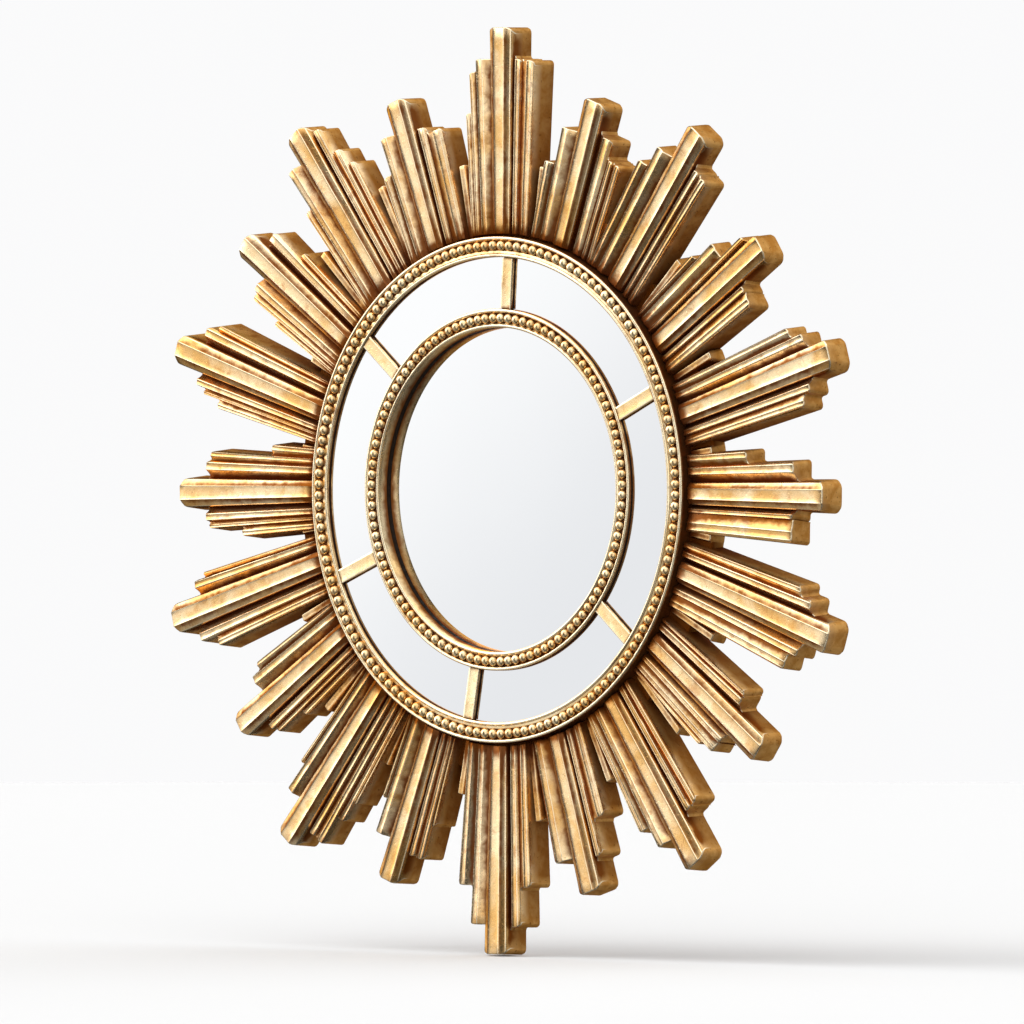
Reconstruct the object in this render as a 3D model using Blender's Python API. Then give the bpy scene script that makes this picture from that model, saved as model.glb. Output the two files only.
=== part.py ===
"""Round sunburst wall mirror: a gilded casting of twenty stepped and fluted rays, two beaded
rings, six mirror segments parted by flat spokes, and a round mirror set deeper in the middle.

Metres, +Z up. The front faces -Y and the wall is the plane y = 0. The origin is on the back
face of the hanging plate. A depth is a distance in front of the wall, and a bearing is an
angle clockwise from twelve o'clock, as seen from the front.
"""
import math
from itertools import accumulate

import bmesh
import bpy
from mathutils import Vector

FIT_GAP = 0.0003           # clearance left between two pieces that touch
ROUND_GAP = 0.0006         # clearance around a round piece, whose sides are flat

# Glass and the board behind it
GLASS_THICKNESS = 0.0040
BOARD_THICKNESS = 0.0170
BOARD_INSET = 0.0294       # edge of the board inside the edge of the outer ring
BOARD_STANDOFF = 0.0004    # back of the board off the wall
BED_THICKNESS = 0.0090     # casting between the board and the mirror segments
SEGMENT_JOINT = 0.0010     # open joint between two segments, under a spoke

# Beaded rings
OUTER_RING_RADIUS = 0.2534
OUTER_RING_WIDTH = 0.0208
OUTER_BEADS = 140
INNER_RING_SHARE = 0.7143  # radius of the inner ring as a share of the outer ring's
INNER_RING_WIDTH = 0.0186
INNER_BEADS = 104
RING_RISE = 0.0042         # top of a ring's lips above the mirror segments
OUTER_LIP_WIDTH = 0.0038
INNER_LIP_WIDTH = 0.0028
LIP_SLOPE = 0.0007         # how far a lip's flank leans into the bead channel
CHANNEL_DEPTH = 0.0025
BEAD_BAND = 0.0096         # strip of the channel that the beads fill
BEAD_RISE = 0.0058         # top of a bead above the channel floor
BEAD_CROWN = 0.60          # width of a bead's flat crown as a share of its cell
GLASS_OVERLAP = 0.0038     # how far a ring covers the edge of the glass

# Flat spokes over the joints of the mirror segments
SPOKE_BEARINGS = (3.5, 65.3, 130.0, 190.0, 248.0, 309.6)
SPOKE_WIDTH = 0.0145
SPOKE_THICKNESS = 0.0027
SPOKE_BEVEL = 0.0010

# Casting of rays
RAY_FACE = 0.0300          # depth of the front of a ray's middle bar
RAY_START_GAP = 0.0022     # rays start this far outside the outer ring
WEB_MARGIN = 0.0306        # web of the casting outside the outer ring
WEB_DEPTH = 0.0170
FILLER_WIDTH = 0.0120
FILLER_DEPTH = 0.0215
FILLER_BEVEL = 0.0030
BAR_WIDTH = 0.0285
BAR_FLAT = 0.45            # flat front of the bar as a share of its half width
BAR_EDGE_DROP = 0.0030     # bar's edges below its flat front
BAR_EDGE_DRAFT = 0.0008
BAR_TIP_ROUND = 0.0100     # how far the bar's corners are rounded back from its tip
BAR_TIP_EASE = 0.8         # share of that rounding at the front of the leaning sides
RIB_FACE_DROP = 0.0016     # front of a rib below the bar's
RIB_CORNER_ROUND = 0.0040
RIDGE_START = 0.50         # a rib's flat ridge as shares of the rib's width
RIDGE_END = 0.86
GROOVE_DROP = 0.0090       # groove beside the bar, below the bar's front
STEP_GROOVE_DROP = 0.0042  # groove between two ribs
OUTER_EDGE_DROP = 0.0028   # outermost edge of a ray
FAN_RADIUS = 0.400         # radius where bars and ribs have the widths above
FAN_LENGTH = 0.7143        # length along the ray over which those widths would double
SIDE_SPLAY = 0.0025        # how far a ray's side walls stand outwards at the back

TABLE_UNIT = 0.001         # metres to one unit of the lengths in the table below

# Bearing in degrees, reach of the bar's tip, ribs left of the bar and ribs right of it, each side
# from the bar outwards as (width, reach), and the reach of the low rib in the gap to the next ray.
# A reach is measured outwards from the edge of the outer ring.
RAYS = (
    (359.7, 209, ((19, 177.5), (8, 164.5), (7, 123.5)), ((14, 177.5), (16.5, 176)), 73.5),
    (18, 155.5, ((22, 118), (15, 79)), ((22.5, 125), (10, 105), (11, 103.5)), 46.5),
    (36.8, 194, ((22, 150), (13.5, 124.5)), ((13, 161), (12, 159.5)), 75.5),
    (55.4, 177.5, ((8, 161), (20, 124), (7, 95)), ((13, 133), (15.5, 132)), 57),
    (73.05, 216, ((15, 185), (11, 168)), ((14, 180), (12, 168.5)), 31),
    (90.9, 187.5, ((20, 146), (14.5, 81.5)), ((10, 145), (23.5, 144.5)), 31),
    (108.65, 218.5, ((14, 184.5), (10, 167.5)), ((15, 182.5), (17, 169.5)), 66),
    (126.6, 185.5, ((16, 136), (6.5, 135)), ((13, 137), (13.5, 134.5), (5, 116)), 85.5),
    (144.7, 205.5, ((14, 155), (10, 154)), ((18, 164), (12.5, 137.5)), 70.5),
    (163.4, 167, ((13, 135.5), (17.5, 98)), ((24, 127),), 81.5),
    (181.2, 211.5, ((18, 184), (15.5, 144)), ((18.5, 182), (18.5, 143)), 57.5),
    (201.9, 167.5, ((13, 132.5), (11.5, 131.5), (5.5, 93.5)), ((20.5, 128), (5, 92)), 66.5),
    (220.2, 204, ((13, 178), (13, 177), (10, 141), (4, 116)), ((17, 163.5), (4.5, 131.5)), 76.5),
    (236.6, 176.5, ((14.5, 142), (7, 135), (9, 95.5)), ((19.5, 135), (8.5, 123)), 53.5),
    (253.85, 214.5, ((17, 184), (11, 162)), ((14.5, 177), (5, 162)), 28.5),
    (269.6, 186, ((15, 152), (7, 147), (11, 102)), ((18, 151), (9.5, 145), (12.5, 61)), 28.5),
    (287.7, 213, ((12.5, 177.5), (5.5, 165), (9, 143)), ((17.5, 180.5), (7, 164.5)), 43.5),
    (304.85, 178, ((17, 139), (8, 135), (7, 96)), ((19, 150), (9.5, 105)), 91.5),
    (321.5, 202, ((18, 175.5), (7, 129.5)), ((13, 187), (11, 153.5), (9.5, 131.5)), 94.5),
    (339.25, 161.5, ((19, 132.5), (11, 95)), ((16, 124.5), (22.5, 115.5)), 76.5),
)

# Hanging plate with its keyhole, let into the back of the board
HANGER_INSET = 0.0440      # middle of the plate inside the edge of the board
PLATE_WIDTH = 0.030
PLATE_HEIGHT = 0.056
PLATE_THICKNESS = 0.0020
PLATE_CORNER = 0.004
KEYHOLE_DROP = 0.008       # top of the slot below the origin
KEYHOLE_SLOT = 0.0050
KEYHOLE_HEAD = 0.0110
KEYHOLE_TRAVEL = 0.0100
SCREW_POCKET_DEPTH = 0.0090
SCREW_POCKET_MARGIN = 0.0030

RING_STEPS = 60            # sides of the plain round pieces
GLASS_STEPS = 72           # sides to a full turn of the mirror segments' arcs
FLAT_ANGLE = 0.3           # faces that meet within these degrees count as one flat face

# What follows from the sizes above
INNER_RING_RADIUS = INNER_RING_SHARE * OUTER_RING_RADIUS
WEB_RADIUS = OUTER_RING_RADIUS + WEB_MARGIN
BOARD_RADIUS = OUTER_RING_RADIUS - BOARD_INSET
HANGER_RISE = BOARD_RADIUS - HANGER_INSET
BOARD_FACE = BOARD_STANDOFF + BOARD_THICKNESS
BED_BACK = BOARD_FACE + FIT_GAP
BED_FACE = BED_BACK + BED_THICKNESS
GLASS_BACK = BED_FACE + FIT_GAP
GLASS_FACE = GLASS_BACK + GLASS_THICKNESS
LIP_TOP = GLASS_FACE + RING_RISE
OUTER_RING_BORE = OUTER_RING_RADIUS - OUTER_RING_WIDTH
INNER_RING_BORE = INNER_RING_RADIUS - INNER_RING_WIDTH
GLASS_OUTER_RADIUS = OUTER_RING_BORE + GLASS_OVERLAP
BED_RADIUS = GLASS_OUTER_RADIUS
GLASS_INNER_RADIUS = INNER_RING_RADIUS - GLASS_OVERLAP
CENTRE_BACK = BOARD_FACE + FIT_GAP
CENTRE_FACE = CENTRE_BACK + GLASS_THICKNESS
CENTRE_RADIUS = INNER_RING_BORE + GLASS_OVERLAP
BED_BORE = CENTRE_RADIUS + FIT_GAP + ROUND_GAP
RAY_START = OUTER_RING_RADIUS + RAY_START_GAP
FULL_TURN = 2 * math.pi


def clear_scene():
    for thing in list(bpy.data.objects):
        bpy.data.objects.remove(thing, do_unlink=True)


def principled(name, colour, roughness, metallic):
    material = bpy.data.materials.new(name)
    material.use_nodes = True
    shader = material.node_tree.nodes["Principled BSDF"]
    shader.inputs["Base Color"].default_value = (*colour, 1.0)
    shader.inputs["Roughness"].default_value = roughness
    shader.inputs["Metallic"].default_value = metallic
    material.diffuse_color = (*colour, 1.0)
    return material


def antique_gold():
    return principled("antique_gold", (0.60, 0.38, 0.13), 0.38, 0.85)


def bright_gold():
    return principled("bright_gold", (0.78, 0.58, 0.28), 0.32, 0.90)


def mirror_glass():
    return principled("mirror_glass", (0.88, 0.90, 0.90), 0.03, 1.0)


def black_board():
    return principled("black_board", (0.035, 0.030, 0.026), 0.75, 0.0)


def zinc_plate():
    return principled("zinc_plate", (0.55, 0.55, 0.53), 0.35, 1.0)


def polar(radius, bearing, depth):
    """Point at a radius and bearing (radians) about the mirror's axis, in front of the wall."""
    return Vector((radius * math.sin(bearing), -depth, radius * math.cos(bearing)))


def finish_mesh(name, bm):
    """Turns a bmesh into a mesh whose faces point out."""
    bmesh.ops.remove_doubles(bm, verts=bm.verts, dist=1e-7)
    bmesh.ops.recalc_face_normals(bm, faces=bm.faces)
    mesh = bpy.data.meshes.new(name)
    bm.to_mesh(mesh)
    bm.free()
    return mesh


def add_object(name, mesh, material, parent, smooth_angle=None):
    thing = bpy.data.objects.new(name, mesh)
    bpy.context.scene.collection.objects.link(thing)
    thing.parent = parent
    mesh.materials.clear()
    mesh.materials.append(material)
    if smooth_angle is not None:
        mesh.shade_smooth()
        mesh.set_sharp_from_angle(angle=math.radians(smooth_angle))
    return thing


def turned_bmesh(profile, steps):
    """Closed ring turned from (radius, depth) points; a point on the axis is one vertex."""
    bm = bmesh.new()
    columns = []
    for step in range(steps):
        bearing = FULL_TURN * step / steps
        columns.append([bm.verts.new(polar(radius, bearing, depth)) for radius, depth in profile])
    for step, column in enumerate(columns):
        following = columns[(step + 1) % steps]
        for index in range(len(profile)):
            after = (index + 1) % len(profile)
            bm.faces.new((column[index], column[after], following[after], following[index]))
    return bm


def disc_bmesh(radius, back, face, steps):
    """Flat round plate between two depths."""
    bm = bmesh.new()
    rims = []
    for depth in (back, face):
        rims.append([bm.verts.new(polar(radius, FULL_TURN * i / steps, depth)) for i in range(steps)])
        bm.faces.new(rims[-1])
    for i in range(steps):
        after = (i + 1) % steps
        bm.faces.new((rims[0][i], rims[0][after], rims[1][after], rims[1][i]))
    return bm


def slab_bmesh(outline, back, face, bevel=0.0):
    """Plate with an (x, z) outline between two depths, its front edge bevelled."""
    bm = bmesh.new()
    rear = [bm.verts.new((x, -back, z)) for x, z in outline]
    front = [bm.verts.new((x, -face, z)) for x, z in outline]
    bm.faces.new(rear)
    front_face = bm.faces.new(front)
    for i in range(len(outline)):
        after = (i + 1) % len(outline)
        bm.faces.new((rear[i], rear[after], front[after], front[i]))
    if bevel:
        bmesh.ops.bevel(bm, geom=list(front_face.edges), offset=bevel, affect="EDGES")
    return bm


def ring_profile(radius, bore, foot):
    """(radius, depth) section of a beaded ring, from its foot over the two lips."""
    floor = LIP_TOP - CHANNEL_DEPTH
    bead_outside = radius - OUTER_LIP_WIDTH - LIP_SLOPE
    bead_inside = bead_outside - BEAD_BAND
    crown = LIP_TOP - LIP_SLOPE
    return foot + [
        (radius, crown),
        (radius - OUTER_LIP_WIDTH, LIP_TOP),
        (bead_outside, floor),
        (bead_inside, floor),
        (bore + INNER_LIP_WIDTH + LIP_SLOPE, floor),
        (bore + INNER_LIP_WIDTH, LIP_TOP),
        (bore, crown),
    ]


def outer_ring_foot():
    """Section of the outer ring under its lips: it stands on the web and laps over the glass."""
    seat = GLASS_OUTER_RADIUS + ROUND_GAP
    lap = GLASS_FACE + FIT_GAP
    foot = WEB_DEPTH + FIT_GAP
    return [(OUTER_RING_BORE, lap), (seat, lap), (seat, foot), (OUTER_RING_RADIUS, foot)]


def inner_ring_foot():
    """Section of the inner ring under its lips: a sleeve down to the middle mirror, and a lap."""
    seat = GLASS_INNER_RADIUS - ROUND_GAP
    lap = GLASS_FACE + FIT_GAP
    sleeve = BED_BORE - ROUND_GAP
    foot = CENTRE_FACE + FIT_GAP
    return [(INNER_RING_BORE, foot), (sleeve, foot), (sleeve, GLASS_BACK), (seat, GLASS_BACK),
            (seat, lap), (INNER_RING_RADIUS, lap)]


def add_bead(bm, corners, middle, rise):
    """Low faceted dome on the four corners of a bead's cell."""
    crown = []
    for i in range(4):
        side = (corners[i].co + corners[(i + 1) % 4].co) / 2
        crown.append(bm.verts.new(middle + (side - middle) * BEAD_CROWN + Vector((0, -rise, 0))))
    for i in range(4):
        bm.faces.new((corners[i], corners[(i + 1) % 4], crown[i]))
        bm.faces.new((corners[i], crown[i], crown[i - 1]))
    bm.faces.new(crown)


def beaded_bmesh(profile, floor_edge, beads):
    """Turned ring with a row of beads on one edge of its section, two beads to each side."""
    bm = bmesh.new()
    outside, inside = floor_edge
    columns = []
    for column in range(beads):
        bearing = FULL_TURN * column / beads
        kept = range(len(profile)) if column % 2 == 0 else floor_edge
        columns.append({i: bm.verts.new(polar(profile[i][0], bearing, profile[i][1])) for i in kept})
    for column in range(0, beads, 2):
        here, half, there = (columns[(column + k) % beads] for k in range(3))
        for i in range(len(profile)):
            after = (i + 1) % len(profile)
            if (i, after) == floor_edge:
                continue
            loop = [here[i], here[after], half.get(after), there[after], there[i], half.get(i)]
            bm.faces.new([vert for vert in loop if vert])
        for first, second, offset in ((here, half, 0.5), (half, there, 1.5)):
            bearing = FULL_TURN * (column + offset) / beads
            radius = (profile[outside][0] + profile[inside][0]) / 2
            middle = polar(radius, bearing, profile[outside][1])
            cell = (first[outside], first[inside], second[inside], second[outside])
            add_bead(bm, cell, middle, BEAD_RISE)
    return bm


def beaded_ring(name, radius, bore, foot, beads, parent, material):
    profile = ring_profile(radius, bore, foot)
    floor = (len(foot) + 2, len(foot) + 3)
    mesh = finish_mesh(name, beaded_bmesh(profile, floor, beads))
    add_object(name, mesh, material, parent)


def rib_section(inner, outer, inner_depth, outer_depth, end):
    """(across, depth, end) points of a rib: a cove that climbs to a flat ridge at its outside."""
    width = outer - inner
    face = RAY_FACE - RIB_FACE_DROP
    corner = min(RIB_CORNER_ROUND, width / 2)
    return [
        (inner, inner_depth, end),
        (inner + RIDGE_START * width, face, end),
        (inner + RIDGE_END * width, face, end),
        (outer, outer_depth, end - corner),
    ]


def side_sections(ribs):
    """Sections of the ribs on one side of the bar, from the bar outwards."""
    edges = list(accumulate((BAR_WIDTH / 2, *(width for width, end in ribs))))
    drops = [GROOVE_DROP] + [STEP_GROOVE_DROP] * (len(ribs) - 1) + [OUTER_EDGE_DROP]
    grooves = [RAY_FACE - drop for drop in drops]
    return [rib_section(edges[i], edges[i + 1], grooves[i], grooves[i + 1], end)
            for i, (width, end) in enumerate(ribs)]


def bar_section(tip):
    """Section of the middle bar: a flat front, two leaning sides and a rounded tip."""
    half = BAR_WIDTH / 2
    leaning_tip = tip - BAR_TIP_ROUND * BAR_TIP_EASE
    right = [
        (BAR_FLAT * half, RAY_FACE, tip),
        (half - BAR_EDGE_DRAFT, RAY_FACE - BAR_EDGE_DROP, leaning_tip),
        (half, RAY_FACE - GROOVE_DROP, tip - BAR_TIP_ROUND),
    ]
    return mirrored(right) + right


def mirrored(section):
    return [(-across, depth, end) for across, depth, end in reversed(section)]


def ray_sections(tip, left, right):
    """Sections of all ribs of a ray, from its left edge to its right edge."""
    left_side = [mirrored(section) for section in reversed(side_sections(left))]
    return left_side + [bar_section(tip)] + side_sections(right)


def fan(along):
    """Share of its full width that a ray has at a distance along it."""
    return 1 + (along - FAN_RADIUS) / FAN_LENGTH


def ray_point(bearing, along, across, depth):
    """Point of a ray: along its axis, across it to the right, and in front of the wall."""
    across = across * fan(along)
    if depth == 0:
        across += math.copysign(SIDE_SPLAY, across)
    forward = Vector((math.sin(bearing), 0, math.cos(bearing)))
    sideways = Vector((math.cos(bearing), 0, -math.sin(bearing)))
    return forward * along + sideways * across + Vector((0, -depth, 0))


def start_along(across):
    """Where a rib starts, so that all ribs start on one circle around the outer ring."""
    narrowed = across * fan(RAY_START)
    return math.sqrt(RAY_START ** 2 - narrowed ** 2)


def add_ray(bm, bearing, sections):
    """Closed stepped block: fluted front, end walls, step walls, flat back."""
    def vert(along, across, depth):
        return bm.verts.new(ray_point(bearing, along, across, depth))

    starts, fronts, backs = [], [], []
    for number, section in enumerate(sections):
        for index, (across, depth, end) in enumerate(section):
            if number and index == 0:
                starts.append(starts[-1])
            else:
                starts.append(vert(start_along(across), across, depth))
            same_end = number and index == 0 and end == sections[number - 1][-1][2]
            fronts.append(fronts[-1] if same_end else vert(end, across, depth))
            backs.append(backs[-1] if same_end else vert(end, across, 0))
    points = [point for section in sections for point in section]
    for i in range(len(points) - 1):
        if starts[i] is starts[i + 1]:
            if fronts[i] is not fronts[i + 1]:
                bm.faces.new((fronts[i], fronts[i + 1], backs[i + 1], backs[i]))
            continue
        left = step_chain(points, starts, fronts, i, -1)
        right = step_chain(points, starts, fronts, i + 1, 1)
        bm.faces.new(left + right[::-1])
        bm.faces.new((fronts[i], fronts[i + 1], backs[i + 1], backs[i]))
    heels = [vert(start_along(section[0][0]), section[0][0], 0) for section in sections]
    heels.append(vert(start_along(points[-1][0]), points[-1][0], 0))
    bm.faces.new(heels[::-1] + without_repeats(backs))
    position = 0
    for number, section in enumerate(sections):
        toe = starts[position:position + len(section)]
        bm.faces.new([heels[number]] + toe + [heels[number + 1]])
        position += len(section)
    bm.faces.new((heels[0], starts[0], fronts[0], backs[0]))
    bm.faces.new((heels[-1], starts[-1], fronts[-1], backs[-1]))


def step_chain(points, starts, fronts, i, side):
    """Edge of a front strip, with the corner of a shorter neighbour where one meets it."""
    chain = [starts[i], fronts[i]]
    other = i + side
    if 0 <= other < len(points) and starts[other] is starts[i] and points[other][2] < points[i][2]:
        chain.insert(1, fronts[other])
    return chain


def without_repeats(verts):
    kept = []
    for vert in verts:
        if not kept or vert is not kept[-1]:
            kept.append(vert)
    return kept


def filler_sections(end):
    """Low rib between two rays."""
    half = FILLER_WIDTH / 2
    shoulder = FILLER_DEPTH - FILLER_BEVEL
    right = [(half - FILLER_BEVEL, FILLER_DEPTH, end), (half, shoulder, end - FILLER_BEVEL)]
    return [mirrored(right) + right]


def radius_of(reach):
    """Distance from the mirror's axis for a reach in the table of rays."""
    return OUTER_RING_RADIUS + reach * TABLE_UNIT


def in_metres(ribs):
    return [(width * TABLE_UNIT, radius_of(reach)) for width, reach in ribs]


def ray_bodies():
    """One mesh with every ray and filler as its own closed body."""
    bm = bmesh.new()
    for number, (degrees, tip, left, right, filler) in enumerate(RAYS):
        add_ray(bm, math.radians(degrees), ray_sections(radius_of(tip), in_metres(left), in_metres(right)))
        following = RAYS[(number + 1) % len(RAYS)][0]
        gap = (following - degrees) % 360
        add_ray(bm, math.radians(degrees + gap / 2), filler_sections(radius_of(filler)))
    bmesh.ops.triangulate(bm, faces=bm.faces)
    return finish_mesh("ray_bodies", bm)


def casting_base():
    """Bed of the mirrors with the web around it, open to the board at the back."""
    rebate = BOARD_RADIUS + ROUND_GAP
    profile = [
        (BED_BORE, BED_BACK), (rebate, BED_BACK), (rebate, 0.0), (WEB_RADIUS, 0.0),
        (WEB_RADIUS, WEB_DEPTH), (BED_RADIUS, WEB_DEPTH), (BED_RADIUS, BED_FACE), (BED_BORE, BED_FACE),
    ]
    return finish_mesh("sunburst_frame", turned_bmesh(profile, RING_STEPS))


def sunburst_frame(parent, material):
    rays = add_object("ray_bodies", ray_bodies(), material, parent)
    rays.hide_render = True
    rays.display_type = "WIRE"
    frame = add_object("sunburst_frame", casting_base(), material, parent)
    union = frame.modifiers.new("fuse_rays", "BOOLEAN")
    union.operation = "UNION"
    union.object = rays
    union.use_self = True
    flatten = frame.modifiers.new("merge_flat_faces", "DECIMATE")
    flatten.decimate_type = "DISSOLVE"
    flatten.angle_limit = math.radians(FLAT_ANGLE)


def arc(radius, centre, half_angle, points):
    """(x, z) points along an arc, clockwise about a bearing."""
    bearings = [centre - half_angle + 2 * half_angle * i / (points - 1) for i in range(points)]
    return [(radius * math.sin(b), radius * math.cos(b)) for b in bearings]


def mirror_segment(number, parent, material):
    start = math.radians(SPOKE_BEARINGS[number])
    end = math.radians(SPOKE_BEARINGS[(number + 1) % len(SPOKE_BEARINGS)])
    span = (end - start) % FULL_TURN
    steps = max(3, round(GLASS_STEPS * span / FULL_TURN))
    joint = SEGMENT_JOINT / 2
    outer = arc(GLASS_OUTER_RADIUS, start + span / 2, span / 2 - joint / GLASS_OUTER_RADIUS, steps)
    inner = arc(GLASS_INNER_RADIUS, start + span / 2, span / 2 - joint / GLASS_INNER_RADIUS, steps)
    bm = slab_bmesh(outer + inner[::-1], GLASS_BACK, GLASS_FACE)
    name = f"mirror_segment_{number + 1}"
    add_object(name, finish_mesh(name, bm), material, parent)


def spoke(number, parent, material):
    """Flat bar over a joint, its ends curved to the two rings."""
    bearing = math.radians(SPOKE_BEARINGS[number])
    half = SPOKE_WIDTH / 2
    near = INNER_RING_RADIUS + ROUND_GAP
    far = OUTER_RING_BORE - ROUND_GAP
    outer = arc(far, bearing, math.asin(half / far), 4)
    inner = arc(near, bearing, math.asin(half / near), 4)
    back = GLASS_FACE + FIT_GAP
    bm = slab_bmesh(outer + inner[::-1], back, back + SPOKE_THICKNESS, SPOKE_BEVEL)
    name = f"spoke_{number + 1}"
    add_object(name, finish_mesh(name, bm), material, parent)


def centre_mirror(parent, material):
    bm = disc_bmesh(CENTRE_RADIUS, CENTRE_BACK, CENTRE_FACE, RING_STEPS)
    add_object("centre_mirror", finish_mesh("centre_mirror", bm), material, parent)


def rounded_rectangle(width, height, corner):
    """(x, z) outline about the origin, clockwise, with three points to each corner."""
    outline = []
    for sign_x, sign_z, start in ((1, 1, 0), (1, -1, 90), (-1, -1, 180), (-1, 1, 270)):
        for turn in (0, 45, 90):
            bearing = math.radians(start + turn)
            x = sign_x * (width / 2 - corner) + corner * math.sin(bearing)
            z = sign_z * (height / 2 - corner) + corner * math.cos(bearing)
            outline.append((x, z))
    return outline


def keyhole_outline(margin):
    """(x, z) outline of the keyhole about the origin, grown all round by a margin."""
    slot = KEYHOLE_SLOT / 2 + margin
    head = KEYHOLE_HEAD / 2 + margin
    top = -KEYHOLE_DROP - KEYHOLE_SLOT / 2
    bottom = top - KEYHOLE_TRAVEL
    neck = math.asin(slot / head)
    upper = [(slot * math.sin(b), top + slot * math.cos(b))
             for b in (-math.pi / 2 + math.pi * i / 6 for i in range(7))]
    lower = [(head * math.sin(b), bottom + head * math.cos(b))
             for b in (neck + (FULL_TURN - 2 * neck) * i / 12 for i in range(13))]
    return upper + lower


def cutter(name, mesh, parent, material):
    tool = add_object(name, mesh, material, parent)
    tool.hide_render = True
    tool.display_type = "WIRE"
    return tool


def cut(target, tool):
    """Takes the tool away from the target."""
    difference = target.modifiers.new(tool.name, "BOOLEAN")
    difference.operation = "DIFFERENCE"
    difference.object = tool


def hanging_plate(material):
    """Steel plate at the origin whose keyhole slides down over a wall screw."""
    outline = rounded_rectangle(PLATE_WIDTH, PLATE_HEIGHT, PLATE_CORNER)
    mesh = finish_mesh("hanging_plate", slab_bmesh(outline, 0.0, PLATE_THICKNESS))
    plate = add_object("hanging_plate", mesh, material, None)
    through = slab_bmesh(keyhole_outline(0.0), -PLATE_THICKNESS, 2 * PLATE_THICKNESS)
    cut(plate, cutter("keyhole_cut", finish_mesh("keyhole_cut", through), None, material))


def back_panel(parent, material):
    """Round board behind the mirrors, with a seat for the plate and a pocket for the screw."""
    bm = disc_bmesh(BOARD_RADIUS, BOARD_STANDOFF, BOARD_FACE, RING_STEPS)
    board = add_object("back_panel", finish_mesh("back_panel", bm), material, parent)
    grow = 2 * FIT_GAP
    outline = rounded_rectangle(PLATE_WIDTH + grow, PLATE_HEIGHT + grow, PLATE_CORNER + FIT_GAP)
    seat = slab_bmesh(outline, -PLATE_THICKNESS, PLATE_THICKNESS + FIT_GAP)
    cut(board, cutter("plate_seat_cut", finish_mesh("plate_seat_cut", seat), None, material))
    pocket = slab_bmesh(keyhole_outline(SCREW_POCKET_MARGIN), 0.0, SCREW_POCKET_DEPTH)
    cut(board, cutter("screw_pocket_cut", finish_mesh("screw_pocket_cut", pocket), None, material))


def build():
    clear_scene()
    axis = bpy.data.objects.new("mirror_axis", None)
    bpy.context.scene.collection.objects.link(axis)
    axis.location = (0.0, 0.0, -HANGER_RISE)
    gold, bright, glass = antique_gold(), bright_gold(), mirror_glass()
    sunburst_frame(axis, gold)
    beaded_ring("outer_beaded_ring", OUTER_RING_RADIUS, OUTER_RING_BORE, outer_ring_foot(),
                OUTER_BEADS, axis, bright)
    beaded_ring("inner_beaded_ring", INNER_RING_RADIUS, INNER_RING_BORE, inner_ring_foot(),
                INNER_BEADS, axis, bright)
    for number in range(len(SPOKE_BEARINGS)):
        mirror_segment(number, axis, glass)
        spoke(number, axis, bright)
    centre_mirror(axis, glass)
    back_panel(axis, black_board())
    hanging_plate(zinc_plate())


build()
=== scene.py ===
"""Looks of the sunburst wall mirror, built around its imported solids.

The front of the mirror faces -Y and the wall is the plane y = 0. A depth is a distance in front
of the wall. A bearing is an angle clockwise from twelve o'clock, as seen from the front.
"""
import math
from itertools import accumulate

import bmesh
import bpy
import numpy as np
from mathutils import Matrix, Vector, noise


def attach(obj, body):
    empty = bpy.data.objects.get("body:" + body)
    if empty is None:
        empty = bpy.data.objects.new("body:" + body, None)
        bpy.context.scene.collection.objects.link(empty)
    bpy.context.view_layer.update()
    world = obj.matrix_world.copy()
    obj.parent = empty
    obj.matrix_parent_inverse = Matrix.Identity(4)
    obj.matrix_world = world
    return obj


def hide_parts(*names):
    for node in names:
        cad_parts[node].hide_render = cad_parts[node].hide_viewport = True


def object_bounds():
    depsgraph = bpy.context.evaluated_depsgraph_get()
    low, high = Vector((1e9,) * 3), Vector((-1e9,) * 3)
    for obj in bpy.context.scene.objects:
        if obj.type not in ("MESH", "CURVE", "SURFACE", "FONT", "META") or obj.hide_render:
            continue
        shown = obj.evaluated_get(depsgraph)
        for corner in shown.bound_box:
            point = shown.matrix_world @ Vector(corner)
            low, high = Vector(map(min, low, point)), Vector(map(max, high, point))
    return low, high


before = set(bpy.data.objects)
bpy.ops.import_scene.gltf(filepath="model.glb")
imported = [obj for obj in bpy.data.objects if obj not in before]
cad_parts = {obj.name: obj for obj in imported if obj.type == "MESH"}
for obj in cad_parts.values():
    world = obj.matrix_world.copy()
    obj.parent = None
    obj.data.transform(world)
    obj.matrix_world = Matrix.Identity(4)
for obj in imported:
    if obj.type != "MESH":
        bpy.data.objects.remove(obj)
cad_low, cad_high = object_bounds()

# Sizes of the solids that the looks repeat, in metres, with bearings in degrees
AXIS_DROP = 0.180          # middle of the mirror below the origin
RING_FOOT = 0.0173         # underside of the outer ring, just in front of the web
GLASS_FACE = 0.0310        # front of the mirror segments
CENTRE_FACE = 0.0217       # front of the middle mirror
CENTRE_BACK = 0.0177
SEGMENT_BACK = 0.0270
LIP_TOP = 0.0352
OUTER_RING_RADIUS, OUTER_RING_BORE, OUTER_BEADS = 0.2534, 0.2326, 140
INNER_RING_RADIUS, INNER_RING_BORE, INNER_BEADS = 0.1810, 0.1624, 104
OUTER_LIP, INNER_LIP, BEAD_BAND = 0.0045, 0.0035, 0.0096
CHANNEL_DEPTH, BEAD_RISE = 0.0025, 0.0058
GLASS_OVERLAP = 0.0038
SPOKE_BEARINGS = (3.5, 65.3, 130.0, 190.0, 248.0, 309.6)
SPOKE_WIDTH, SPOKE_THICKNESS = 0.0145, 0.0027
BED_BACK, BED_FACE, BED_BORE, BED_RADIUS = 0.0177, 0.0267, 0.1671, 0.2364
BOARD_REBATE, WEB_RADIUS, WEB_DEPTH = 0.2246, 0.2840, 0.0170
RAY_FACE, RAY_START = 0.0300, 0.2556
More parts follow.
